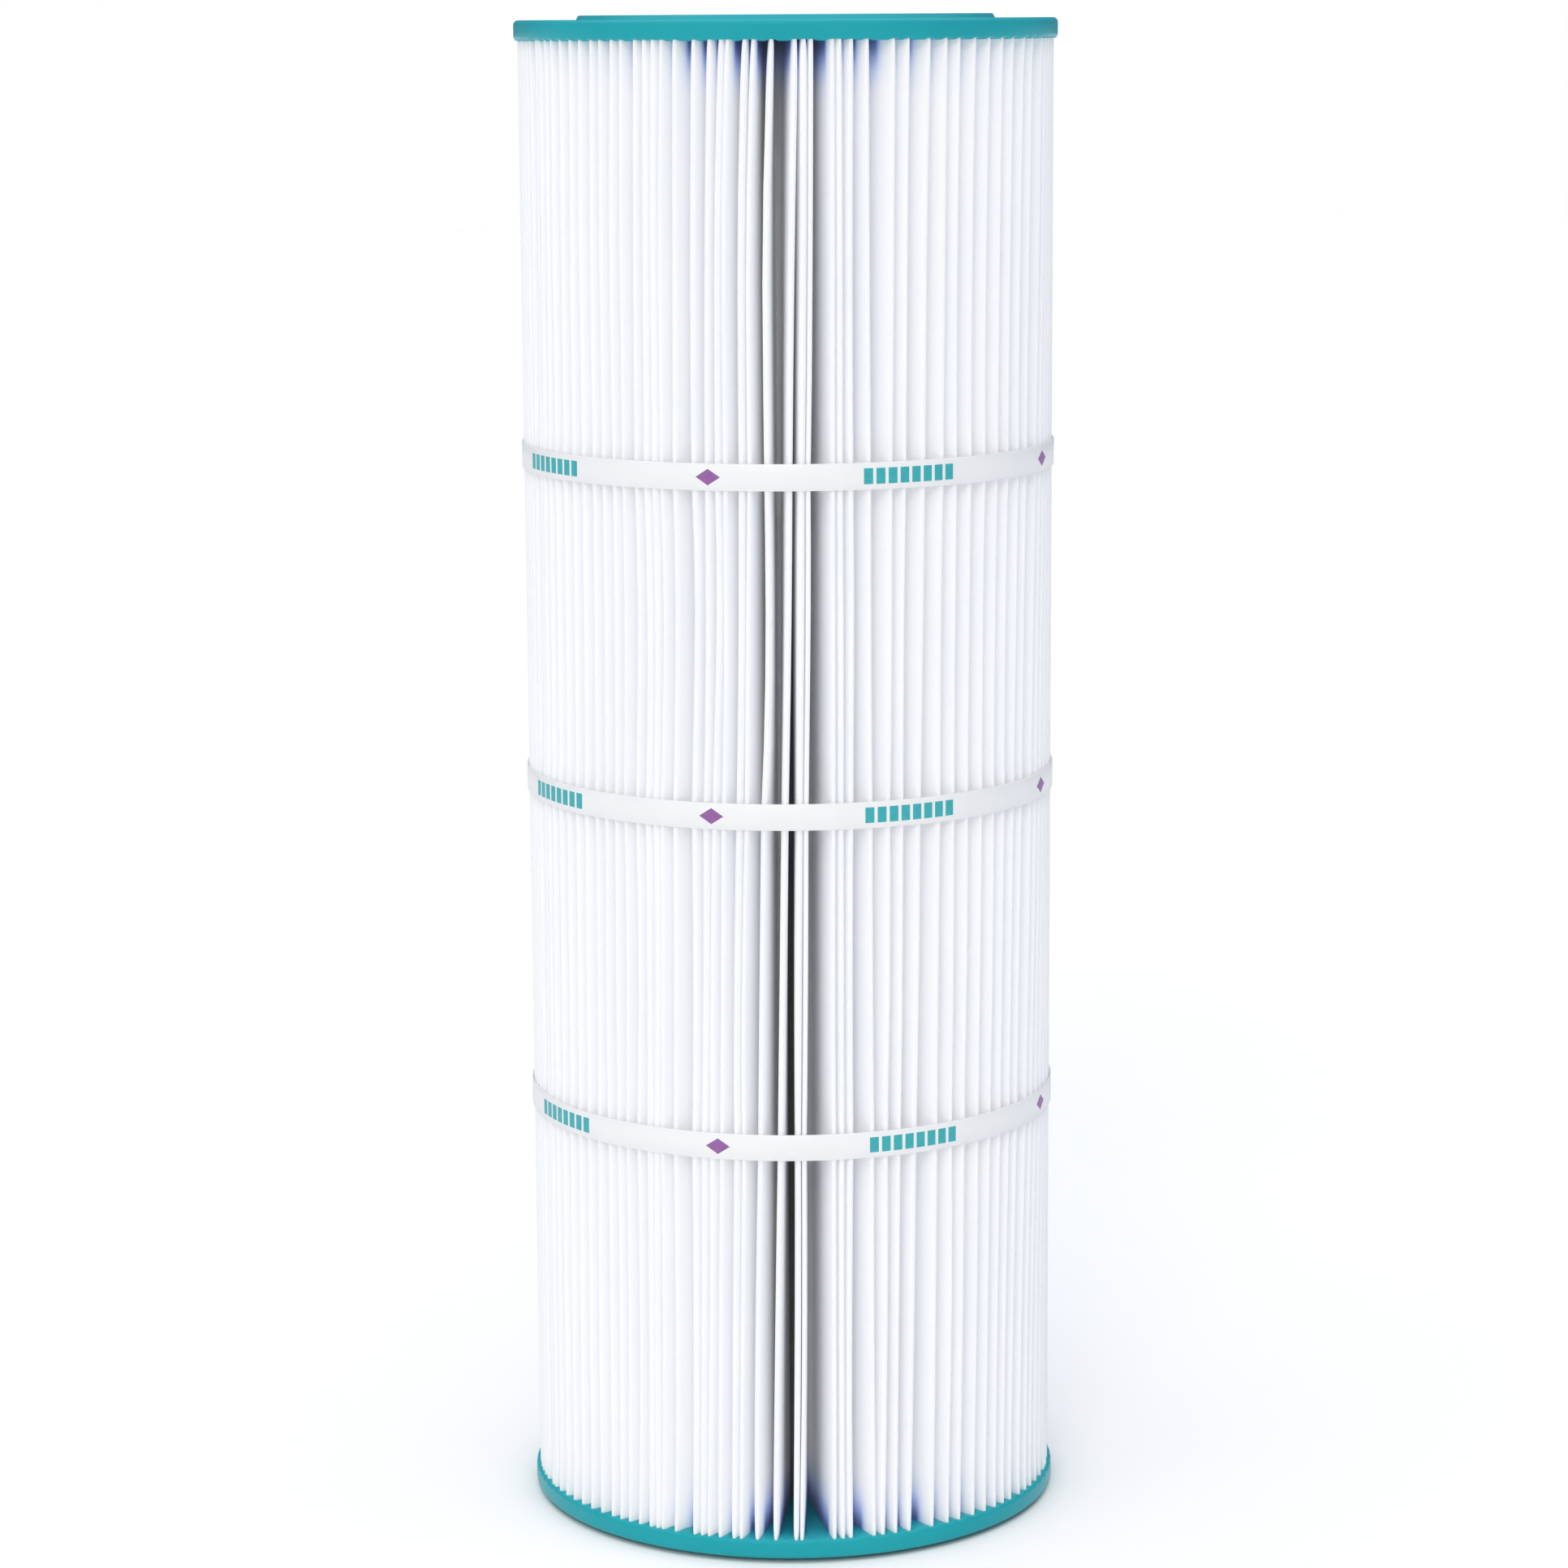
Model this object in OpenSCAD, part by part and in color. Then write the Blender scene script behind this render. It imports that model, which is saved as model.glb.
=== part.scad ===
/* [Overall] */
// Height over the raised faces of both end caps
overall_h = 498.5; // [300:0.5:700]
// Outside diameter of the end caps
cap_d = 177.8; // [170:0.1:186]
// Diameter of the open hole through each end cap
bore_d = 77.8; // [70:0.1:79]

/* [End caps] */
// Height of the rim that shows round the edge of a cap
rim_h = 6.2; // [5:0.1:10]
// Height of the raised face above the rim
raised_h = 1.4; // [0.6:0.1:2.5]
// Diameter of the raised face
raised_d = 136; // [110:1:150]
// Radius of the cap's outer corner
corner_r = 1.5; // [0.5:0.1:2]
// Depth that the pleats and the core are cast into a cap
potting_depth = 4.2; // [2:0.1:4.6]

/* [Centre core] */
// Inside diameter of the core
core_id = 81; // [80:0.1:82]
// Wall of the core
core_wall = 3; // [2.4:0.1:3.4]
// Openings round the core
windows_round = 16; // [13:1:20]
// Width of one opening
window_w = 11; // [5:0.5:11]
// Height of one opening
window_h = 12.5; // [6:0.5:14]
// Distance from one row of openings to the next
row_pitch = 17; // [16:0.5:24]
// Length of the half-lap that joins the two core sections
lap_joint_l = 6; // [4:0.5:8]

/* [Filter media] */
// Pleats round the cartridge
pleat_count = 120; // [90:1:122]
// Thickness of the filter fabric
media_t = 0.5; // [0.4:0.05:0.65]
// Gap between the core and the inner folds
core_gap = 0.5; // [0.3:0.1:1]
// Gap from the outer folds in to the cap's edge
media_inset = 1.2; // [1:0.1:3]
// Width of the strip that seals the fabric's two ends
seam_w = 2.4; // [2:0.1:3]
// Depth of that strip
seam_depth = 2.5; // [1.5:0.1:4]

/* [Bands] */
// Height of a band
band_h = 8.5; // [6:0.1:14]
// Thickness of a band
band_t = 0.4; // [0.3:0.05:0.4]
// Distance from the middle band to each of the others
band_pitch = 108; // [50:1:110]
// How far the middle band sits below mid height
band_drop = 1.4; // [0:0.1:5]
// Length of the lap where a band's ends are welded
band_lap_l = 25; // [15:1:40]
// Height of the hot-melt bead under a band
bead_h = 5; // [3:0.1:6]
// Thickness of that bead
bead_t = 0.2; // [0.15:0.05:0.2]

/* [Hidden] */

teal = [0.17, 0.62, 0.66];
core_grey = [0.16, 0.17, 0.19];
media_white = [0.95, 0.96, 0.99];
seam_grey = [0.30, 0.31, 0.33];
band_white = [0.93, 0.93, 0.92];
glue_amber = [0.90, 0.88, 0.78];

cap_r = cap_d / 2;
bore_r = bore_d / 2;
cap_h = rim_h + raised_h;
raised_r = raised_d / 2;
socket_z = cap_h - potting_depth;
mid_z = overall_h / 2;
band_mid_z = mid_z - band_drop;
corner_steps = 6;
overcut = 1;
round_fn = 96;

core_r_in = core_id / 2;
core_r_out = core_r_in + core_wall;
core_r_mid = core_r_in + core_wall / 2;
core_margin = 6;
core_rows = floor((mid_z - cap_h - core_margin - lap_joint_l) / row_pitch);
core_notch_r = window_w / 2 / sin(180 / windows_round);

media_r_in = core_r_out + core_gap;
media_r_out = cap_r - media_inset;
seam_half = seam_w / 2;
seam_r = media_r_in + seam_depth;
outer_fold_half = 0.7;
inner_fold_half = 0.45;
first_fold_angle = 2.2;
pleat_angle = (360 - 2 * first_fold_angle) / (pleat_count - 1);

bead_r = media_r_out + bead_t;
band_r = bead_r + band_t;

// A point at radius r, turned a degrees from the front (-Y) towards +X, then moved side mm sideways
function at(r, a, side = 0) = [
    r * sin(a) + side * cos(a),
    side * sin(a) - r * cos(a)
];

function outer_fold_angle(k) = first_fold_angle + k * pleat_angle;
function inner_fold_angle(k) = outer_fold_angle(k) + pleat_angle / 2;

// The face of the pleated sheet that looks outwards, from the seam round to the seam
function sheet_outside() = concat(
    [[seam_half, -media_r_in], [seam_half, -seam_r]],
    [for (k = [0 : pleat_count - 1])
        each concat(
            [at(media_r_out, outer_fold_angle(k), -outer_fold_half - media_t / 2),
             at(media_r_out, outer_fold_angle(k), outer_fold_half + media_t / 2)],
            k == pleat_count - 1 ? [] :
            [at(media_r_in + media_t, inner_fold_angle(k), media_t / 2 - inner_fold_half),
             at(media_r_in + media_t, inner_fold_angle(k), inner_fold_half - media_t / 2)])],
    [[-seam_half, -seam_r], [-seam_half, -media_r_in]]
);

// The face that looks inwards, from the end of the seam back to its start
function sheet_inside() = concat(
    [[-seam_half - media_t, -media_r_in], [-seam_half - media_t, -seam_r]],
    [for (k = [pleat_count - 1 : -1 : 0])
        each concat(
            [at(media_r_out - media_t, outer_fold_angle(k), outer_fold_half - media_t / 2),
             at(media_r_out - media_t, outer_fold_angle(k), media_t / 2 - outer_fold_half)],
            k == 0 ? [] :
            [at(media_r_in, inner_fold_angle(k - 1), inner_fold_half + media_t / 2),
             at(media_r_in, inner_fold_angle(k - 1), -inner_fold_half - media_t / 2)])],
    [[seam_half + media_t, -seam_r], [seam_half + media_t, -media_r_in]]
);

// One sheet, folded back and forth between the core and the bands
module pleated_sheet(h) {
    linear_extrude(height = h)
        polygon(concat(sheet_outside(), sheet_inside()));
}

module seam_block(h) {
    translate([-seam_half, -seam_r, 0])
        cube([seam_w, seam_depth, h]);
}

module ring(r_out, r_in, h) {
    difference() {
        cylinder(h = h, r = r_out, $fn = round_fn);
        translate([0, 0, -overcut])
            cylinder(h = h + 2 * overcut, r = r_in, $fn = round_fn);
    }
}

// Half section of a cap that lies on its raised face
function cap_section() = concat(
    [[bore_r, 0], [raised_r - raised_h, 0], [raised_r, raised_h], [cap_r - corner_r, raised_h]],
    [for (i = [1 : corner_steps - 1])
        [cap_r - corner_r + corner_r * sin(i * 90 / corner_steps),
         raised_h + corner_r - corner_r * cos(i * 90 / corner_steps)]],
    [[cap_r, raised_h + corner_r], [cap_r, cap_h], [bore_r, cap_h]]
);

// A cast cap, with the sockets that the pleats, the seam strip and the core fill
module cast_cap() {
    difference() {
        rotate_extrude($fn = round_fn)
            polygon(cap_section());
        translate([0, 0, socket_z]) {
            pleated_sheet(potting_depth + overcut);
            seam_block(potting_depth + overcut);
            ring(core_r_out, core_r_in, potting_depth + overcut);
        }
    }
}

// A star whose arms are the openings of one row, turned so that a rib lies behind the seam
module window_row() {
    reach = core_r_out + overcut;
    linear_extrude(height = window_h)
        polygon([for (i = [0 : windows_round - 1])
            each [at(reach, (i + 0.5) * 360 / windows_round, -window_w / 2),
                  at(reach, (i + 0.5) * 360 / windows_round, window_w / 2),
                  at(core_notch_r, (i + 1) * 360 / windows_round)]]);
}

module window_rows(first_z) {
    for (row = [0 : core_rows - 1])
        translate([0, 0, first_z + row * row_pitch])
            window_row();
}

// A strap pulled round the pleats, twice as thick where its ends overlap at the back
module band(z) {
    translate([0, 0, z - band_h / 2])
        difference() {
            union() {
                cylinder(h = band_h, r = band_r, $fn = round_fn);
                intersection() {
                    cylinder(h = band_h, r = band_r + band_t, $fn = round_fn);
                    translate([-band_lap_l / 2, 0, 0])
                        cube([band_lap_l, cap_r, band_h]);
                }
            }
            translate([0, 0, -overcut])
                cylinder(h = band_h + 2 * overcut, r = bead_r, $fn = round_fn);
        }
}

module glue_bead(z) {
    translate([0, 0, z - bead_h / 2])
        ring(bead_r, media_r_out, bead_h);
}

module bottom_end_cap() {
    color(teal)
        cast_cap();
}

module top_end_cap() {
    color(teal)
        translate([0, 0, overall_h])
            mirror([0, 0, 1])
                cast_cap();
}

// The lower core section ends in a spigot, the inner half of the joint
module core_lower_section() {
    color(core_grey)
        difference() {
            union() {
                translate([0, 0, socket_z])
                    ring(core_r_out, core_r_in, mid_z - lap_joint_l / 2 - socket_z);
                translate([0, 0, mid_z - lap_joint_l])
                    ring(core_r_mid, core_r_in, lap_joint_l * 1.5);
            }
            window_rows(cap_h + core_margin);
        }
}

// The upper core section ends in a socket, the outer half of the joint
module core_upper_section() {
    color(core_grey)
        difference() {
            translate([0, 0, mid_z - lap_joint_l / 2])
                ring(core_r_out, core_r_in, overall_h - socket_z - mid_z + lap_joint_l / 2);
            translate([0, 0, mid_z - lap_joint_l / 2 - overcut])
                cylinder(h = lap_joint_l + overcut, r = core_r_mid, $fn = round_fn);
            window_rows(overall_h - cap_h - core_margin - window_h - (core_rows - 1) * row_pitch);
        }
}

module filter_media() {
    color(media_white)
        translate([0, 0, socket_z])
            pleated_sheet(overall_h - 2 * socket_z);
}

module media_seam_strip() {
    color(seam_grey)
        translate([0, 0, socket_z])
            seam_block(overall_h - 2 * socket_z);
}

module band_upper() {
    color(band_white)
        band(band_mid_z + band_pitch);
}

module band_middle() {
    color(band_white)
        band(band_mid_z);
}

module band_lower() {
    color(band_white)
        band(band_mid_z - band_pitch);
}

module glue_bead_upper() {
    color(glue_amber)
        glue_bead(band_mid_z + band_pitch);
}

module glue_bead_middle() {
    color(glue_amber)
        glue_bead(band_mid_z);
}

module glue_bead_lower() {
    color(glue_amber)
        glue_bead(band_mid_z - band_pitch);
}

top_end_cap();
bottom_end_cap();
core_lower_section();
core_upper_section();
filter_media();
media_seam_strip();
band_upper();
band_middle();
band_lower();
glue_bead_upper();
glue_bead_middle();
glue_bead_lower();
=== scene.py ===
"""The looks of a pleated filter cartridge: cast teal caps, one folded white sheet, three printed straps."""
import math
import random

import bpy
import numpy as np
from mathutils import Matrix, Vector


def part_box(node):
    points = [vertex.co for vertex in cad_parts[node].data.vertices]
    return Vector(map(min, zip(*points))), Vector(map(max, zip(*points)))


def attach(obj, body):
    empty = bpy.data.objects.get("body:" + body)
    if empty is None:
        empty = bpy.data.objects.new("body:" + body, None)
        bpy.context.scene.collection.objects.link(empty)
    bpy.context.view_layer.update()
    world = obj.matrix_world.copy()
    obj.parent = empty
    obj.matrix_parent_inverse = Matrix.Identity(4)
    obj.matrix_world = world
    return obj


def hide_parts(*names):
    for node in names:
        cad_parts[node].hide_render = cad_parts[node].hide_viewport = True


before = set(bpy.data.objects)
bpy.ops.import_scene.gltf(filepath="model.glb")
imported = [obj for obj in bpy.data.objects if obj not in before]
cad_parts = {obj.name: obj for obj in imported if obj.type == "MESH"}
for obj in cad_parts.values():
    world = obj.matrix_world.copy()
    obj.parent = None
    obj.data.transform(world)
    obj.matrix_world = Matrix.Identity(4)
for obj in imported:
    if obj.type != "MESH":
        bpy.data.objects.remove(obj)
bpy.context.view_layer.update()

MM = 0.001
TAU = 2 * math.pi
ROOT = "root"
SEED = 11

# ---------------------------------------------------------------- sizes, read from the frame
CAP_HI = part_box("bottom_end_cap")[1]
TOP_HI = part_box("top_end_cap")[1]
MEDIA_LO, MEDIA_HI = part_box("filter_media")
SEAM_LO, SEAM_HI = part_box("media_seam_strip")
CORE_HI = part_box("core_lower_section")[1]

TOTAL_H = TOP_HI.z
CAP_R = CAP_HI.x
CAP_H = CAP_HI.z
MEDIA_R = MEDIA_HI.x
CORE_R = CORE_HI.x
SEAM_HALF = SEAM_HI.x
SEAM_IN_R = -SEAM_HI.y
SEAM_OUT_R = -SEAM_LO.y

# Sizes that the frame's boxes don't give
BORE_R = 38.9 * MM
RAISED_R = 68 * MM
RAISED_H = 1.4 * MM
PLEATS = 120
MEDIA_T = 0.5 * MM
BAND_NODES = ("band_lower", "band_middle", "band_upper")


# ---------------------------------------------------------------- helpers for node trees
def add_node(tree, kind, **settings):
    """A node with its inputs set by name (or by number, as i0, i1) and its other settings as attributes."""
    node = tree.nodes.new(kind)
    for key, value in settings.items():
        if key[0] == "i" and key[1:].isdigit():
            node.inputs[int(key[1:])].default_value = value
        elif key in node.inputs:
            node.inputs[key].default_value = value
        else:
            setattr(node, key, value)
    return node


def object_noise(tree, scale, detail=3.0, stretch=(1, 1, 1)):
    place = tree.nodes.new("ShaderNodeTexCoord")
    mapping = add_node(tree, "ShaderNodeMapping", Scale=stretch)
    noise = add_node(tree, "ShaderNodeTexNoise", Scale=scale, Detail=detail)
    tree.links.new(place.outputs["Object"], mapping.inputs["Vector"])
    tree.links.new(mapping.outputs["Vector"], noise.inputs["Vector"])
    return noise.outputs["Fac"]


def ramp(tree, value, stops):
    """A colour ramp through (position, colour) stops."""
    node = tree.nodes.new("ShaderNodeValToRGB")
    elements = node.color_ramp.elements
    while len(elements) < len(stops):
        elements.new(0.5)
    for element, (position, color) in zip(elements, stops):
        element.position = position
        element.color = (*color, 1)
    tree.links.new(value, node.inputs["Fac"])
    return node.outputs["Color"]


def rescale(tree, value, low, high, from_low=0.0, from_high=1.0, curve="LINEAR"):
    """Maps a value from one range to another and keeps it between low and high."""
    node = add_node(tree, "ShaderNodeMapRange", interpolation_type=curve)
    limits = {"From Min": from_low, "From Max": from_high, "To Min": low, "To Max": high}
    for name, limit in limits.items():
        node.inputs[name].default_value = limit
    tree.links.new(value, node.inputs["Value"])
    return node.outputs["Result"]


def smooth_step(tree, value, start, end):
    """0 at start and 1 at end, with a soft bend at both."""
    return rescale(tree, value, 0, 1, start, end, "SMOOTHSTEP")


def multiply(tree, first, second):
    node = add_node(tree, "ShaderNodeMath", operation="MULTIPLY")
    tree.links.new(first, node.inputs[0])
    tree.links.new(second, node.inputs[1])
    return node.outputs["Value"]


def blend(tree, factor, first, second):
    """A colour mix. Each side is a socket or a plain colour, and sockets 6, 7 and 2 are the colour ones."""
    node = add_node(tree, "ShaderNodeMix", data_type="RGBA")
    tree.links.new(factor, node.inputs["Factor"])
    for number, side in ((6, first), (7, second)):
        if isinstance(side, tuple):
            node.inputs[number].default_value = side
        else:
            tree.links.new(side, node.inputs[number])
    return node.outputs[2]


def bump(tree, shader, height, strength, distance, below=None):
    """Adds relief to the shader, on top of the relief below it."""
    node = add_node(tree, "ShaderNodeBump", Strength=strength, Distance=distance)
    tree.links.new(height, node.inputs["Height"])
    if below is not None:
        tree.links.new(below, node.inputs["Normal"])
    tree.links.new(node.outputs["Normal"], shader.inputs["Normal"])
    return node.outputs["Normal"]


# ---------------------------------------------------------------- camera and lights
# Distances in metres, angles in degrees, lens and film width in millimetres
CAMERA_DISTANCE = 1.430
CAMERA_HEIGHT = 0.497
CAMERA_PITCH = 10.07
CAMERA_YAW = 0.08
CAMERA_ROLL = 0.35
CAMERA_LENS = 98.9
CAMERA_FILM = 36


def add_camera():
    data = bpy.data.cameras.new("camera")
    data.lens = CAMERA_LENS
    data.sensor_width = CAMERA_FILM
    data.clip_start = 0.05
    data.clip_end = 60
    camera = bpy.data.objects.new("camera", data)
    bpy.context.scene.collection.objects.link(camera)
    camera.matrix_world = (
        Matrix.Translation((0, -CAMERA_DISTANCE, CAMERA_HEIGHT))
        @ Matrix.Rotation(math.radians(CAMERA_YAW), 4, "Z")
        @ Matrix.Rotation(math.radians(90 - CAMERA_PITCH), 4, "X")
        @ Matrix.Rotation(math.radians(-CAMERA_ROLL), 4, "Z")
    )
    bpy.context.scene.camera = camera


def add_sun(name, azimuth, elevation, strength, spread, color):
    """A soft sun that shines from azimuth (0 is the camera's side, + to its right) and elevation."""
    data = bpy.data.lights.new(name, "SUN")
    data.energy = strength
    data.color = color
    data.angle = math.radians(spread)
    lamp = bpy.data.objects.new(name, data)
    bpy.context.scene.collection.objects.link(lamp)
    a, e = math.radians(azimuth), math.radians(elevation)
    to_light = Vector((math.sin(a) * math.cos(e), -math.cos(a) * math.cos(e), math.sin(e)))
    lamp.rotation_euler = to_light.to_track_quat("Z", "Y").to_euler()


# The studio's light: its walls from the side facing away from BRIGHT_SIDE round to it, and its ceiling
BRIGHT_SIDE = (-0.35, -0.937, 0.0)
WALLS = (
    (0.0, (0.09, 0.11, 0.15)),
    (0.45, (0.12, 0.15, 0.21)),
    (0.75, (0.20, 0.26, 0.35)),
    (1.0, (0.88, 0.81, 0.70)),
)
CEILING = 2.0
CEILING_FROM = 0.55


def add_world():
    """Light from the camera's side and from overhead, dim and cool from behind. The camera sees white."""
    world = bpy.data.worlds.new("studio")
    bpy.context.scene.world = world
    world.use_nodes = True
    tree = world.node_tree
    background = tree.nodes["Background"]
    place = tree.nodes.new("ShaderNodeTexCoord")
    side = add_node(tree, "ShaderNodeVectorMath", operation="DOT_PRODUCT", i1=BRIGHT_SIDE)
    tree.links.new(place.outputs["Generated"], side.inputs[0])
    around = ramp(tree, rescale(tree, side.outputs["Value"], 0, 1, -1, 1), WALLS)
    parts = tree.nodes.new("ShaderNodeSeparateXYZ")
    tree.links.new(place.outputs["Generated"], parts.inputs["Vector"])
    above = rescale(tree, parts.outputs["Z"], 0, CEILING, CEILING_FROM, 1)
    light = add_node(tree, "ShaderNodeVectorMath", operation="ADD")
    tree.links.new(around, light.inputs[0])
    tree.links.new(above, light.inputs[1])
    path = tree.nodes.new("ShaderNodeLightPath")
    seen = blend(tree, path.outputs["Is Camera Ray"], light.outputs["Vector"], (1, 1, 1, 1))
    tree.links.new(seen, background.inputs["Color"])
    background.inputs["Strength"].default_value = 1.0


def add_lights():
    add_sun("key", azimuth=-8, elevation=35, strength=0.52, spread=25, color=(1.0, 0.92, 0.80))
    add_world()
    bpy.context.scene.view_settings.view_transform = "Standard"


# ---------------------------------------------------------------- materials
def new_material(name, color, roughness, specular=0.5):
    material = bpy.data.materials.new(name)
    material.use_nodes = True
    shader = material.node_tree.nodes["Principled BSDF"]
    shader.inputs["Base Color"].default_value = (*color, 1)
    shader.inputs["Roughness"].default_value = roughness
    shader.inputs["Specular IOR Level"].default_value = specular
    return material, material.node_tree, shader


def mottle(tree, shader, scale, dark, light, span=(0.3, 0.7)):
    """Base colour that drifts between two close tones."""
    color = ramp(tree, object_noise(tree, scale), [(span[0], dark), (span[1], light)])
    tree.links.new(color, shader.inputs["Base Color"])


def vary_roughness(tree, shader, scale, low, high):
    tree.links.new(rescale(tree, object_noise(tree, scale), low, high), shader.inputs["Roughness"])


def cap_material():
    material, tree, shader = new_material("teal_polyurethane", (0.022, 0.375, 0.435), 0.34, 0.3)
    shader.inputs["Specular Tint"].default_value = (0.15, 0.95, 1.0, 1)
    mottle(tree, shader, 28, (0.020, 0.36, 0.42), (0.024, 0.39, 0.45))
    vary_roughness(tree, shader, 55, 0.28, 0.40)
    ripple = bump(tree, shader, object_noise(tree, 45, 2), 0.25, 0.6 * MM)
    bump(tree, shader, object_noise(tree, 900, 2), 0.12, 0.1 * MM, ripple)
    return material


# Painted shade on the fabric deep between the folds beside a cap, blue to navy: how far it reaches from the
# cap, and its radii
SHADE_REACH = 24 * MM
SHADE_FROM = MEDIA_R - 1 * MM
SHADE_FULL = MEDIA_R - 7 * MM
SHADE_TINTS = (
    (0.0, (0.864, 0.88, 0.905)),
    (0.6, (0.62, 0.71, 0.96)),
    (0.85, (0.36, 0.46, 0.80)),
    (1.0, (0.12, 0.18, 0.42)),
)
# Painted light: a weak glow that stands in for light coming through the fabric, fading with depth
LIGHT_FULL = MEDIA_R - 4 * MM
LIGHT_END = MEDIA_R - 20 * MM
PAINTED_GLOW_STRENGTH = 0.125
LIGHT_DEEP = (0.12, 0.12, 0.12, 1)


def radius_and_height(tree):
    """Distance from the axis, and distance from mid height, of the shaded point."""
    place = tree.nodes.new("ShaderNodeTexCoord")
    parts = tree.nodes.new("ShaderNodeSeparateXYZ")
    tree.links.new(place.outputs["Object"], parts.inputs["Vector"])
    from_middle = add_node(tree, "ShaderNodeMath", operation="SUBTRACT", i1=TOTAL_H / 2)
    tree.links.new(parts.outputs["Z"], from_middle.inputs[0])
    height = add_node(tree, "ShaderNodeMath", operation="ABSOLUTE")
    tree.links.new(from_middle.outputs["Value"], height.inputs[0])
    flat = add_node(tree, "ShaderNodeCombineXYZ")
    tree.links.new(parts.outputs["X"], flat.inputs["X"])
    tree.links.new(parts.outputs["Y"], flat.inputs["Y"])
    radius = add_node(tree, "ShaderNodeVectorMath", operation="LENGTH")
    tree.links.new(flat.outputs["Vector"], radius.inputs[0])
    return radius.outputs["Value"], height.outputs["Value"]


def fabric_material():
    """Thin white fabric, with painted shade in blue deep between the folds beside the caps, and a painted
    glow that fades with depth.
    """
    material, tree, shader = new_material("spun_bonded_polyester", (0.864, 0.88, 0.905), 0.75, 0.2)
    radius, height = radius_and_height(tree)
    blotch = object_noise(tree, 60, 4, (1, 1, 0.3))
    plain = ramp(tree, blotch, [(0.3, (0.855, 0.872, 0.900)), (0.7, (0.873, 0.887, 0.910))])
    # Painted shade: blue to navy between the folds, strongest deep down and nearest the caps
    near_cap = smooth_step(tree, height, TOTAL_H / 2 - CAP_H - SHADE_REACH, TOTAL_H / 2 - CAP_H)
    deep = smooth_step(tree, radius, SHADE_FROM, SHADE_FULL)
    shade = multiply(tree, near_cap, deep)
    color = blend(tree, shade, plain, ramp(tree, shade, SHADE_TINTS))
    tree.links.new(color, shader.inputs["Base Color"])
    # Painted light: the fabric glows, full near the fold tips and dim deep between the folds
    lit = smooth_step(tree, radius, LIGHT_END, LIGHT_FULL)
    tree.links.new(blend(tree, lit, LIGHT_DEEP, color), shader.inputs["Emission Color"])
    shader.inputs["Emission Strength"].default_value = PAINTED_GLOW_STRENGTH
    place = tree.nodes.new("ShaderNodeTexCoord")
    bonds = add_node(tree, "ShaderNodeTexVoronoi", Scale=1100, Randomness=0.35)
    tree.links.new(place.outputs["Object"], bonds.inputs["Vector"])
    dimple = bump(tree, shader, bonds.outputs["Distance"], 0.15, 0.08 * MM)
    bump(tree, shader, object_noise(tree, 2600, 3), 0.10, 0.05 * MM, dimple)
    return material


def core_material():
    material, tree, shader = new_material("core_plastic", (0.05, 0.052, 0.058), 0.5)
    mottle(tree, shader, 80, (0.04, 0.042, 0.047), (0.062, 0.065, 0.072))
    vary_roughness(tree, shader, 150, 0.4, 0.6)
    bump(tree, shader, object_noise(tree, 700, 2), 0.1, 0.1 * MM)
    return material


def sealant_material():
    material, tree, shader = new_material("seam_sealant", (0.17, 0.17, 0.18), 0.5)
    mottle(tree, shader, 120, (0.15, 0.15, 0.16), (0.19, 0.19, 0.20))
    bump(tree, shader, object_noise(tree, 260, 3), 0.5, 0.4 * MM)
    return material


def band_material():
    material, tree, shader = new_material("white_strap", (0.90, 0.91, 0.925), 0.42)
    mottle(tree, shader, 90, (0.89, 0.90, 0.915), (0.91, 0.92, 0.935))
    vary_roughness(tree, shader, 200, 0.36, 0.5)
    bump(tree, shader, object_noise(tree, 1500, 2, (0.2, 0.2, 1)), 0.08, 0.05 * MM)
    return material


def glue_material():
    material, tree, shader = new_material("hot_melt", (0.78, 0.74, 0.60), 0.35)
    mottle(tree, shader, 150, (0.74, 0.70, 0.55), (0.82, 0.79, 0.66))
    bump(tree, shader, object_noise(tree, 300, 2), 0.3, 0.2 * MM)
    return material


def ink_material(name, dark, light):
    material, tree, shader = new_material(name, dark, 0.45)
    mottle(tree, shader, 700, dark, light, (0.35, 0.65))
    return material


def floor_material():
    material, tree, shader = new_material("floor", (0.975, 0.97, 0.965), 0.9, 0.1)
    mottle(tree, shader, 3, (0.97, 0.965, 0.96), (0.98, 0.975, 0.97), (0.4, 0.6))
    return material


# ---------------------------------------------------------------- helpers for meshes
def new_piece(name, vertices, faces, materials, smooth=True):
    mesh = bpy.data.meshes.new(name)
    mesh.from_pydata([tuple(v) for v in vertices], [], faces)
    mesh.validate()
    if smooth:
        mesh.shade_smooth()
    for material in materials:
        mesh.materials.append(material)
    piece = bpy.data.objects.new(name, mesh)
    bpy.context.scene.collection.objects.link(piece)
    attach(piece, ROOT)
    return piece


def grid_faces(rows, columns, start=0, closed=False, flip=False):
    """Quads of a grid of points stored row by row."""
    faces = []
    for row in range(rows - 1):
        for column in range(columns if closed else columns - 1):
            a = start + row * columns + column
            b = start + row * columns + (column + 1) % columns
            quad = (a, b, b + columns, a + columns)
            faces.append(quad[::-1] if flip else quad)
    return faces


def front_point(r, angle, z):
    """Cylinder coordinates: angle in radians from the front (-Y), + towards +X."""
    return (r * math.sin(angle), -r * math.cos(angle), z)
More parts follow.
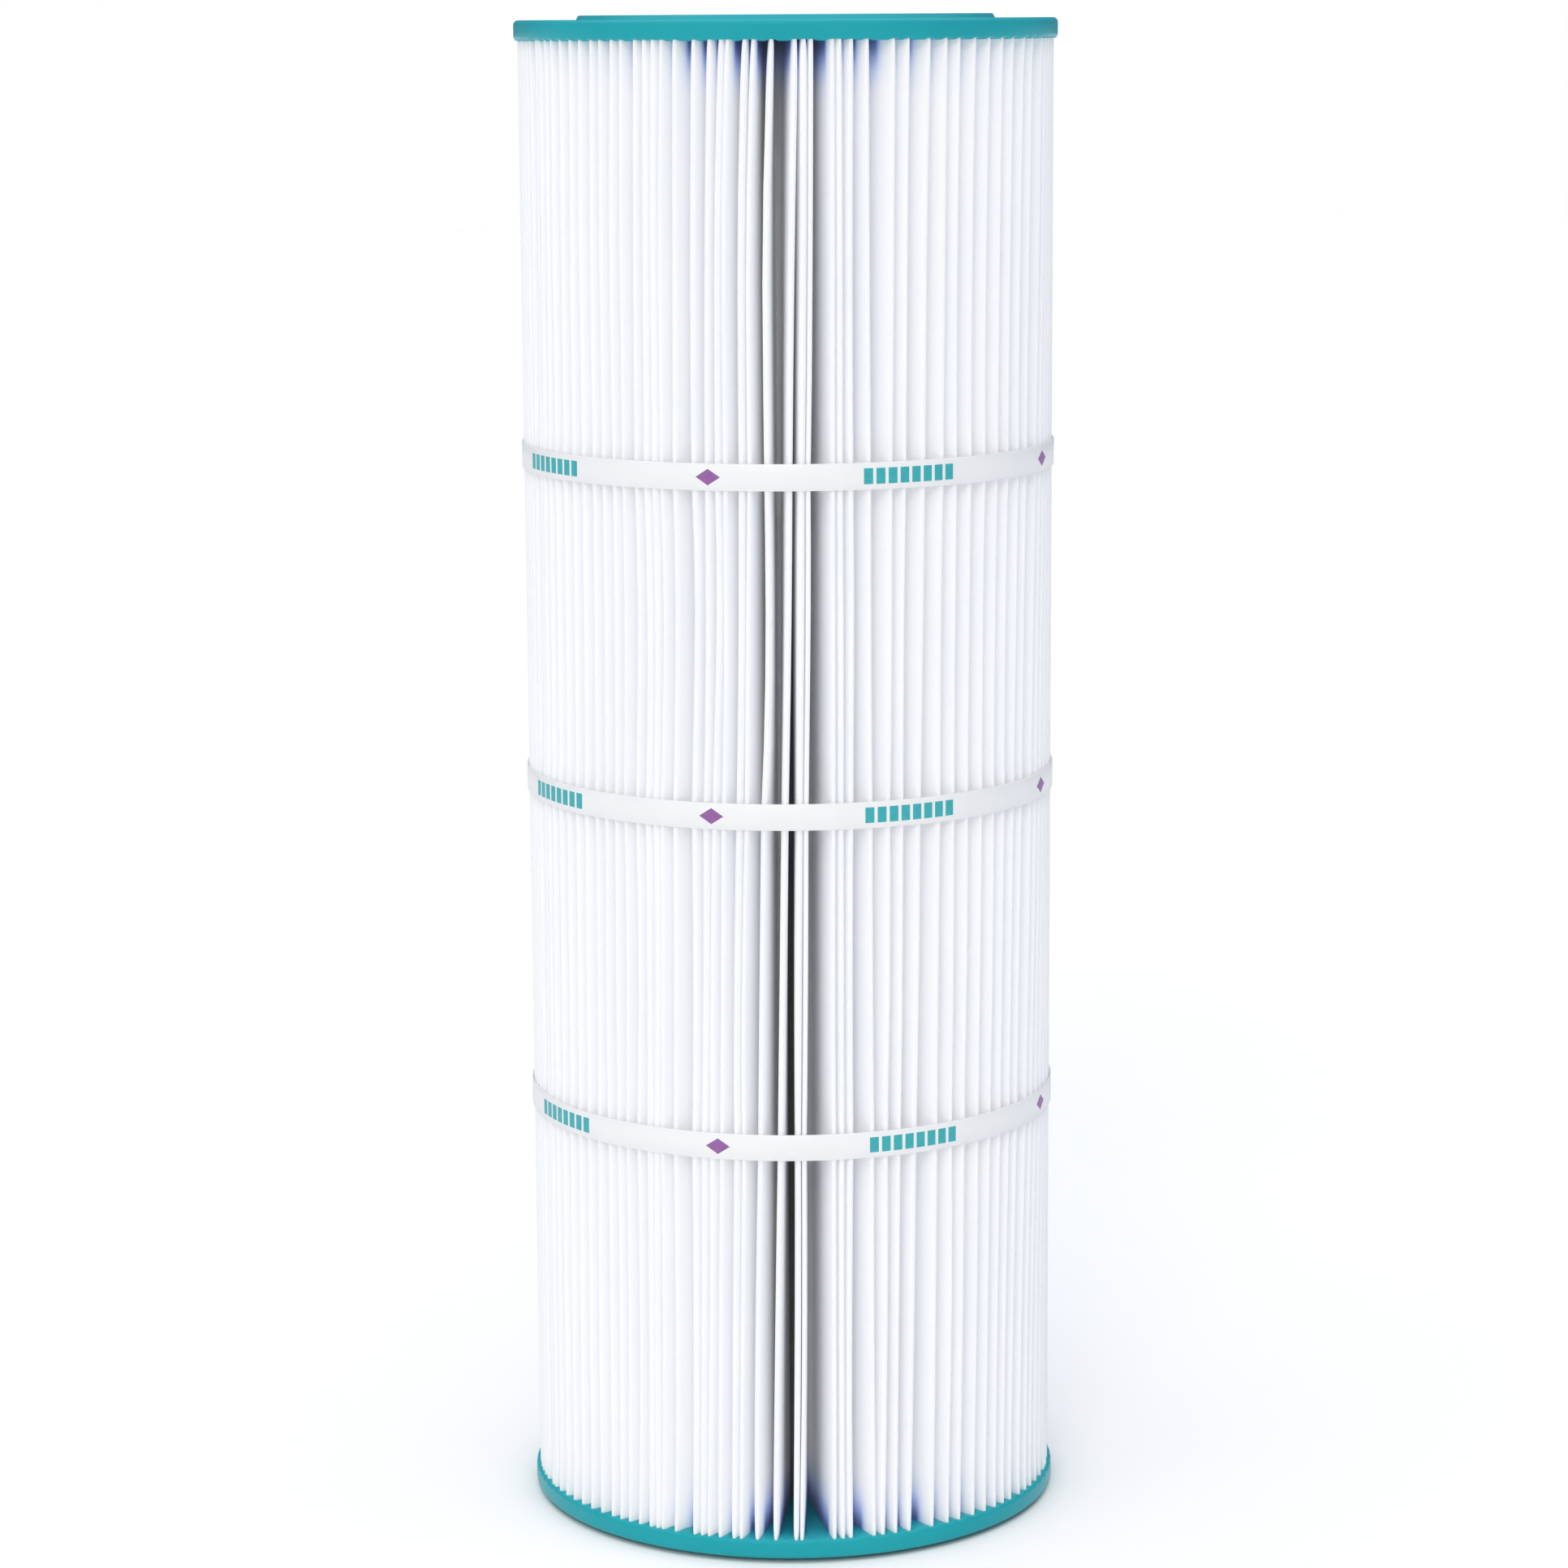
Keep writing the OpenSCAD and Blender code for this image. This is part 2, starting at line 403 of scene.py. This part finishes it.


# ---------------------------------------------------------------- where each pleat's fold lies
# Fold angles beside the seam, in degrees: (under the top cap, on the bottom cap)
FOLDS_RIGHT = (
    (3.7, 0.4), (5.2, 1.6), (9.5, 8.7), (11.0, 10.6), (13.4, 12.3), (16.7, 17.5),
    (22.5, 19.5), (25.8, 22.4), (30.7, 25.6), (34.9, 31.3), (38.3, 35.4), (42.7, 38.6),
    (47.0, 42.8), (51.3, 46.5), (55.3, 50.0), (60.0, 53.0), (64.0, 56.0), (70.0, 60.0),
)
FOLDS_LEFT = (
    (-1.9, 4.0), (2.8, 8.0), (6.5, 11.5), (8.3, 13.1), (11.8, 16.2), (13.2, 18.7), (15.6, 20.3), (19.0, 22.0),
    (23.2, 26.5), (26.2, 29.7), (28.2, 31.1), (30.3, 32.8), (32.5, 35.7), (36.0, 38.5), (38.5, 41.0),
    (41.7, 43.6), (44.3, 47.0), (47.8, 50.5), (51.0, 54.0), (54.6, 57.5), (58.2, 61.0), (61.0, 64.5),
)
# Least distance between neighbouring folds
FOLD_GAP_MIN = 1.65 * MM

# The folds in between, at the edges of the camera's view and behind: steps drawn from these, the last tighter
STEPS = (0.6, 0.75, 1.0, 1.0, 1.25, 1.5)
STEP_JITTER = (0.9, 1.1)
TIGHT_STEP = 0.80
TIGHT_FROM = 0.85


def fold_angles():
    """Every fold's angle in radians, at the top and at the foot, from the seam round to the seam."""
    rng = random.Random(SEED)
    right, left = np.array(FOLDS_RIGHT), 360 - np.array(FOLDS_LEFT[::-1])
    count = PLEATS - len(right) - len(left)
    steps = []
    for i in range(count + 1):
        tightness = TIGHT_STEP if i / count > TIGHT_FROM else 1.0
        steps.append(tightness * rng.choice(STEPS) * rng.uniform(*STEP_JITTER))
    steps = np.array(steps)
    columns = []
    for end in (0, 1):
        room = left[0, end] - right[-1, end]
        between = right[-1, end] + np.cumsum(steps / steps.sum() * room)[:-1]
        columns.append(np.concatenate([right[:, end], between, left[:, end]]))
    return np.radians(columns[0]), np.radians(columns[1])


# Neighbours in a running mean, and rounds of pushing inner and outer folds apart
AVERAGED = 7
ROOT_ROUNDS = 40
FOLD_ROUNDS = 60
# How far the fins lean beside the seam, and the least angle between inner folds
MAX_LEAN = math.radians(3.6)
ROOT_PITCH_MIN = math.radians(2.02)


def running_mean(values):
    """Means of AVERAGED neighbours, so the result is shorter than the values by AVERAGED - 1."""
    return np.convolve(values, np.ones(AVERAGED) / AVERAGED, "valid")


def push_apart(angles, gap):
    """Moves neighbours that are closer than gap apart, each by half of what is missing."""
    short = np.clip(gap - np.diff(angles), 0, None) / 2
    angles[..., :-1] -= short
    angles[..., 1:] += short


def root_angles():
    """Angles of the inner folds and the seam's two ends. Fins lean away from the seam, least at the back."""
    top, foot = fold_angles()
    tips = (top + foot) / 2
    reach = AVERAGED // 2
    fins = running_mean(np.concatenate([tips[-reach:] - TAU, tips, tips[:reach] + TAU]))
    turned = (tips + math.pi) % TAU - math.pi
    fins -= MAX_LEAN * np.sign(turned) * np.cos(turned / 2) ** 2
    end = (SEAM_HALF + MEDIA_T / 2) / SEAM_IN_R
    nearest = end + ROOT_PITCH_MIN * (np.arange(PLEATS) + 0.5)
    fins = np.clip(fins, nearest, TAU - nearest[::-1])
    for _ in range(ROOT_ROUNDS):
        push_apart(fins, ROOT_PITCH_MIN)
        fins = np.clip(fins, nearest, TAU - nearest[::-1])
    return np.concatenate([[end], (fins[:-1] + fins[1:]) / 2, [TAU - end]])


# Heights at which the folds are held: the caps' faces and the middles of the bands
STATIONS = [CAP_H] + [(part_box(n)[0].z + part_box(n)[1].z) / 2 for n in BAND_NODES] + [TOTAL_H - CAP_H]
ROWS_BY_CAP = np.array((0, 1.5, 4, 8, 13, 20, 45, 75, 105)) * MM
ROWS_PER_SPAN = 5

# How far the folds bow sideways between stations, together with their neighbours and each on its own
BOW_SHARED = 0.45
BOW_SHARED_GAIN = 2.2
BOW_OWN = 0.22
BOW_SKEW = (0.7, 1.4)


def row_heights():
    """Heights of the sheet's rows of points: close together beside the caps, and one on each station."""
    heights = [MEDIA_LO.z] + list(CAP_H + ROWS_BY_CAP)
    for low, high in zip(STATIONS[1:-2], STATIONS[2:-1]):
        heights += list(np.linspace(low, high, ROWS_PER_SPAN, endpoint=False))
    return np.array(heights + [STATIONS[-2]] + list(TOTAL_H - CAP_H - ROWS_BY_CAP[::-1]) + [MEDIA_HI.z])


def fold_rows(heights):
    """Each fold's angle at each height: straight from cap to cap, with a sideways bow between stations."""
    top, foot = fold_angles()
    share = (heights - heights[0]) / (heights[-1] - heights[0])
    angles = foot[None, :] + share[:, None] * (top - foot)[None, :]
    rng = np.random.default_rng(SEED)
    for span in range(len(STATIONS) - 1):
        shared = running_mean(rng.normal(0, 1, PLEATS + AVERAGED - 1)) * BOW_SHARED_GAIN
        bow = (BOW_SHARED * shared + BOW_OWN * rng.normal(0, 1, PLEATS)) * MM / MEDIA_R
        skew = rng.uniform(*BOW_SKEW, PLEATS)
        s = np.clip((heights - STATIONS[span]) / (STATIONS[span + 1] - STATIONS[span]), 0, 1)
        angles += np.sin(math.pi * s[:, None] ** skew[None, :]) * bow[None, :]
    for _ in range(FOLD_ROUNDS):
        push_apart(angles, FOLD_GAP_MIN / MEDIA_R)
    return angles


# ---------------------------------------------------------------- the folded sheet
INNER_BEND_R = 0.42 * MM
OUTER_ARC = np.radians((-90, -30, 30, 90))
INNER_ARC = np.radians((-50, 50))
DEPTHS = (0.4, 0.72, 0.9)
LEG_BOW = 0.35 * MM
LEG_CLEAR = 0.09 * MM
CORE_CLEAR = 0.5 * MM
ROOT_R = CORE_R + CORE_CLEAR + MEDIA_T / 2 + INNER_BEND_R
# A room in metres that never limits anything, for the two fins that have the seam beside them
FREE = 1.0

# Half width of an outer fold: open between the caps, pinched where it enters one
PINCHED_BEND = 0.32 * MM
PINCH_REACH = 18 * MM
BEND_RANGE = (0.5 * MM, 0.9 * MM)
BENDS_RIGHT = (0.9 * MM, 0.45 * MM)
BENDS_LEFT = (0.75 * MM, 0.8 * MM)
# How late a fin leans over on its way to the tip: 1 is a straight slanting fin
LEANS_RIGHT = (1.0, 1.0, 1.6, 2.3, 3.0)
LEANS_LEFT = (0.85, 1.8, 2.0, 2.5, 3.0)
LEAN = 3.5


def beside_seam(values, right, left):
    """Sets the fins on both sides of the seam, counted away from it."""
    values[:len(right)] = right
    values[PLEATS - len(left):] = left[::-1]
    return values


LEANS = beside_seam(np.full(PLEATS, LEAN), LEANS_RIGHT, LEANS_LEFT)


def bend_rows(heights, folds):
    """Half width of each outer fold's bend at each height."""
    drawn = np.random.default_rng(SEED + 1).uniform(*BEND_RANGE, PLEATS)
    bends = beside_seam(drawn, BENDS_RIGHT, BENDS_LEFT)
    from_cap = np.minimum(heights - CAP_H, TOTAL_H - CAP_H - heights) / PINCH_REACH
    opened = np.sqrt(1 - (1 - np.clip(from_cap, 0, 1)) ** 2)
    rows = PINCHED_BEND + opened[:, None] * (bends - PINCHED_BEND)[None, :]
    gaps = np.pad(np.diff(folds, axis=1) * MEDIA_R, ((0, 0), (1, 1)), constant_values=FREE)
    room = (np.minimum(gaps[:, :-1], gaps[:, 1:]) - MEDIA_T - 2 * LEG_CLEAR) / 2
    return np.minimum(rows, room)


def polar_to_xy(r, angle, side=0.0):
    """Plane points at radius r and angle from the front, moved sideways towards larger angles."""
    x = r * np.sin(angle) + side * np.cos(angle)
    y = side * np.sin(angle) - r * np.cos(angle)
    return np.stack([x, y], axis=-1)


def leg_points(folds, bends, roots):
    """For each depth, the points of every fin's two legs. Each fin leans over towards its tip."""
    fins = (roots[:-1] + roots[1:]) / 2
    tip_r = MEDIA_R - MEDIA_T / 2 - bends
    near = (roots[1:] - roots[:-1]) / 2 * ROOT_R - INNER_BEND_R
    far = near.copy()
    near[0] += INNER_BEND_R
    far[-1] += INNER_BEND_R
    legs = []
    for s in DEPTHS:
        r = ROOT_R + s * (tip_r - ROOT_R)
        centre = fins + MEDIA_R * (folds - fins) * s ** LEANS / r
        room = np.diff(centre) * r[:-1] / 2 - MEDIA_T / 2 - LEG_CLEAR
        bulge = s * bends + LEG_BOW * 4 * s * (1 - s)
        before = np.minimum((1 - s) * near + bulge, np.concatenate([[FREE], room]))
        after = np.minimum((1 - s) * far + bulge, np.concatenate([room, [FREE]]))
        legs.append((polar_to_xy(r, centre - before / r), polar_to_xy(r, centre + after / r)))
    return legs


def centre_line(folds, bends, roots):
    """Centre line of the sheet at one height, from one side of the seam round to the other."""
    legs = leg_points(folds, bends, roots)
    points = [polar_to_xy(SEAM_IN_R, 0.0, SEAM_HALF + MEDIA_T / 2),
              polar_to_xy(SEAM_OUT_R, 0.0, SEAM_HALF + MEDIA_T / 2)]
    for k in range(PLEATS):
        bend = bends[k]
        tip_r = MEDIA_R - MEDIA_T / 2 - bend
        points += [before[k] for before, after in legs]
        points += [polar_to_xy(tip_r + bend * math.cos(a), folds[k], bend * math.sin(a)) for a in OUTER_ARC]
        points += [after[k] for before, after in reversed(legs)]
        if k < PLEATS - 1:
            root = roots[k + 1]
            points += [polar_to_xy(ROOT_R - INNER_BEND_R * math.cos(a), root, INNER_BEND_R * math.sin(a))
                       for a in INNER_ARC]
    points += [polar_to_xy(SEAM_OUT_R, 0.0, -SEAM_HALF - MEDIA_T / 2),
               polar_to_xy(SEAM_IN_R, 0.0, -SEAM_HALF - MEDIA_T / 2)]
    return np.array(points)


def side_normals(line):
    """Unit normals of a plane line, pointing to its right."""
    along = np.gradient(line, axis=0)
    along /= np.linalg.norm(along, axis=1, keepdims=True)
    return np.stack([along[:, 1], -along[:, 0]], axis=1)


def sheet_points(lines, heights):
    """Rows of points on both faces of the sheet, first the whole outer face and then the inner one."""
    outside, inside = [], []
    for line, z in zip(lines, heights):
        shift = side_normals(line) * MEDIA_T / 2
        level = np.full((len(line), 1), z)
        outside.append(np.hstack([line + shift, level]))
        inside.append(np.hstack([line - shift, level]))
    return np.concatenate(outside + inside)


def sheet_faces(rows, columns):
    """Both faces of the sheet, its foot and top edges, and its two ends at the seam."""
    second = rows * columns
    last = (rows - 1) * columns
    faces = grid_faces(rows, columns) + grid_faces(rows, columns, second, flip=True)
    for c in range(columns - 1):
        faces.append((c + 1, c, second + c, second + c + 1))
        faces.append((last + c, last + c + 1, second + last + c + 1, second + last + c))
    for row in range(rows - 1):
        a, b = row * columns, (row + 1) * columns
        faces.append((a, b, second + b, second + a))
        a, b = a + columns - 1, b + columns - 1
        faces.append((b, a, second + a, second + b))
    return faces


def add_media(material):
    heights = row_heights()
    folds = fold_rows(heights)
    bends = bend_rows(heights, folds)
    roots = root_angles()
    lines = [centre_line(fold, bend, roots) for fold, bend in zip(folds, bends)]
    faces = sheet_faces(len(lines), len(lines[0]))
    media = new_piece("pleated_media", sheet_points(lines, heights), faces, [material])
    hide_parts("filter_media")
    return folds


# ---------------------------------------------------------------- cast caps
CAP_COLUMNS = 960
RIM_CORNER_R = 1.6 * MM
RIM_BROW_R = 1.1 * MM
FACE_BEND_R = 0.7 * MM
STEP_BEND_R = FACE_BEND_R * 0.3
STEP_R = RAISED_R + FACE_BEND_R * 0.8
# The resin's rise up the fabric: its height, where it starts beside a fold, and how far on it is full
WICK_H = 0.5 * MM
WICK_FROM = 0.7 * MM
WICK_RUN = 1.6 * MM
# Radii inside the rim, with the share of the rise that is left there
WICK_SHARES = ((MEDIA_R - 4 * MM, 1.0), (MEDIA_R - 20 * MM, 0.6), (CORE_R + 1 * MM, 0.3))


def arc(centre_r, centre_z, radius, start, end, steps):
    """Points of a bend in a cap's half section, between two angles in degrees."""
    return [(centre_r + radius * math.cos(math.radians(a)), centre_z + radius * math.sin(math.radians(a)))
            for a in np.linspace(start, end, steps)]


def cap_profile():
    """Half section of a cap on its raised face, as (radius, height, share of the wick's rise)."""
    bend = FACE_BEND_R
    wall = [(BORE_R, CAP_H - bend)] + arc(BORE_R + bend, bend, bend, 180, 270, 4)
    shoulder = arc(RAISED_R - bend, bend, bend, 270, 315, 3)
    step = arc(STEP_R, RAISED_H - STEP_BEND_R, STEP_BEND_R, 135, 90, 3)
    corner = arc(CAP_R - RIM_CORNER_R, RAISED_H + RIM_CORNER_R, RIM_CORNER_R, 270, 360, 6)
    brow = arc(CAP_R - RIM_BROW_R, CAP_H - RIM_BROW_R, RIM_BROW_R, 0, 90, 5)
    profile = [(r, z, 0.0) for r, z in wall + shoulder + step + corner]
    profile += [(r, z, (z - (CAP_H - RIM_BROW_R)) / RIM_BROW_R) for r, z in brow]
    profile += [(r, CAP_H, share) for r, share in WICK_SHARES]
    return profile + [(BORE_R + bend, CAP_H, 0.0)]


def wick_rise(angle, folds):
    """The cap stands a little higher between folds, where the resin has crept up the fabric."""
    gaps = np.abs((folds - angle + math.pi) % TAU - math.pi) * MEDIA_R
    share = np.clip((gaps.min() - WICK_FROM) / WICK_RUN, 0, 1)
    return WICK_H * share * share * (3 - 2 * share)


def add_cap(name, node, folds, material, upside_down):
    profile = cap_profile()
    angles = [TAU * i / CAP_COLUMNS for i in range(CAP_COLUMNS)]
    rises = [wick_rise(a, folds) for a in angles]
    vertices = []
    for r, z, share in profile:
        for angle, rise in zip(angles, rises):
            height = z + share * rise
            vertices.append(front_point(r, angle, TOTAL_H - height if upside_down else height))
    rows = len(profile)
    faces = grid_faces(rows, CAP_COLUMNS, closed=True, flip=upside_down)
    last = (rows - 1) * CAP_COLUMNS
    for c in range(CAP_COLUMNS):
        d = (c + 1) % CAP_COLUMNS
        quad = (last + c, last + d, d, c)
        faces.append(quad[::-1] if upside_down else quad)
    cap = new_piece(name, vertices, faces, [material])
    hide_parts(node)


# ---------------------------------------------------------------- straps and their print
BAND_COLUMNS = 720
BAND_EDGE = 0.12 * MM
LAP_HALF = 12.5 * MM

# Printed marks: sizes in metres, places round the strap in degrees
MARK_T = 0.06 * MM
MARK_SUNK = MARK_T / 3
DASHES = 8
DASH_W = 3.0 * MM
DASH_GAP = 1.1 * MM
DASH_H = 5.0 * MM
DIAMOND_HALF_W = 4.0 * MM
DIAMOND_HALF_H = 2.6 * MM
PRINT_TURN = 86
DASHES_AT = 25.5
DIAMOND_AT = 69
PRINT_OFFSETS = {"band_upper": 0.4, "band_middle": 0.5, "band_lower": 1.3}


def add_band(node, material):
    """A strap with a thicker lap at the back. Returns its radius and the height of its middle."""
    low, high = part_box(node)
    glue_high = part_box(node.replace("band", "glue_bead"))[1]
    inner_r, outer_r, lap_r = glue_high.x, high.x, high.y
    angles = [TAU * i / BAND_COLUMNS for i in range(BAND_COLUMNS)]
    outsides = [lap_r if abs(a - math.pi) * outer_r < LAP_HALF else outer_r for a in angles]
    outer_face = [(BAND_EDGE, low.z), (0, low.z + BAND_EDGE), (0, high.z - BAND_EDGE), (BAND_EDGE, high.z)]
    profile = [(None, low.z)] + outer_face + [(None, high.z)]
    vertices = [front_point(inner_r if inset is None else outside - inset, angle, z)
                for inset, z in profile for angle, outside in zip(angles, outsides)]
    faces = grid_faces(len(profile), BAND_COLUMNS, closed=True)
    last = (len(profile) - 1) * BAND_COLUMNS
    for c in range(BAND_COLUMNS):
        d = (c + 1) % BAND_COLUMNS
        faces.append((last + c, last + d, d, c))
    band = new_piece(node + "_strap", vertices, faces, [material])
    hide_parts(node)
    return outer_r, (low.z + high.z) / 2


def plate(outline, r, centre_angle, z):
    """A thin printed patch bent round the strap: its outline is (across, up) in metres."""
    inner = [front_point(r, centre_angle + u / r, z + v) for u, v in outline]
    outer = [front_point(r + MARK_T, centre_angle + u / r, z + v) for u, v in outline]
    n = len(outline)
    faces = [tuple(range(n, 2 * n)), tuple(range(n - 1, -1, -1))]
    faces += [(i, (i + 1) % n, n + (i + 1) % n, n + i) for i in range(n)]
    return inner + outer, faces


def add_marks(node, r, z, ink_teal, ink_purple):
    """A row of plain dashes and a plain diamond, four times round the strap."""
    vertices, faces, inks = [], [], []

    def put(outline, angle, ink):
        points, quads = plate(outline, r - MARK_SUNK, angle, z)
        start = len(vertices)
        vertices.extend(points)
        faces.extend(tuple(start + i for i in quad) for quad in quads)
        inks.extend([ink] * len(quads))

    across, up = DASH_W / 2, DASH_H / 2
    dash = [(-across, -up), (across, -up), (across, up), (-across, up)]
    diamond = [(0, -DIAMOND_HALF_H), (DIAMOND_HALF_W, 0), (0, DIAMOND_HALF_H), (-DIAMOND_HALF_W, 0)]
    for turn in range(-2, 2):
        base = math.radians(PRINT_TURN * turn + PRINT_OFFSETS[node])
        for i in range(DASHES):
            shift = (i - (DASHES - 1) / 2) * (DASH_W + DASH_GAP)
            put(dash, base + math.radians(DASHES_AT) + shift / r, ink=0)
        put(diamond, base + math.radians(DIAMOND_AT), ink=1)
    marks = new_piece(node + "_print", vertices, faces, [ink_teal, ink_purple], smooth=False)
    for polygon, ink in zip(marks.data.polygons, inks):
        polygon.material_index = ink


# ---------------------------------------------------------------- floor
FLOOR_HALF = 9.0


def add_floor(material):
    half = FLOOR_HALF
    corners = [(-half, -half, 0), (half, -half, 0), (half, half, 0), (-half, half, 0)]
    mesh = bpy.data.meshes.new("floor")
    mesh.from_pydata(corners, [], [(0, 1, 2, 3)])
    mesh.materials.append(material)
    floor = bpy.data.objects.new("floor", mesh)
    bpy.context.scene.collection.objects.link(floor)


# ---------------------------------------------------------------- the whole cartridge
def paint_node(node, material):
    """Gives a node of the CAD model a material. Its mesh stays as it is."""
    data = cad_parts[node].data
    for i in range(len(data.materials)):
        data.materials[i] = material


add_camera()
add_lights()
add_floor(floor_material())

FOLDS = add_media(fabric_material())
teal = cap_material()
add_cap("bottom_cap_casting", "bottom_end_cap", FOLDS[0], teal, False)
add_cap("top_cap_casting", "top_end_cap", FOLDS[-1], teal, True)

strap = band_material()
ink_teal = ink_material("ink_teal", (0.030, 0.40, 0.44), (0.036, 0.44, 0.49))
ink_purple = ink_material("ink_purple", (0.27, 0.10, 0.34), (0.31, 0.12, 0.38))
for node in BAND_NODES:
    radius, height = add_band(node, strap)
    add_marks(node, radius, height, ink_teal, ink_purple)

plastic = core_material()
paint_node("core_lower_section", plastic)
paint_node("core_upper_section", plastic)
paint_node("media_seam_strip", sealant_material())
glue = glue_material()
for node in BAND_NODES:
    paint_node(node.replace("band", "glue_bead"), glue)
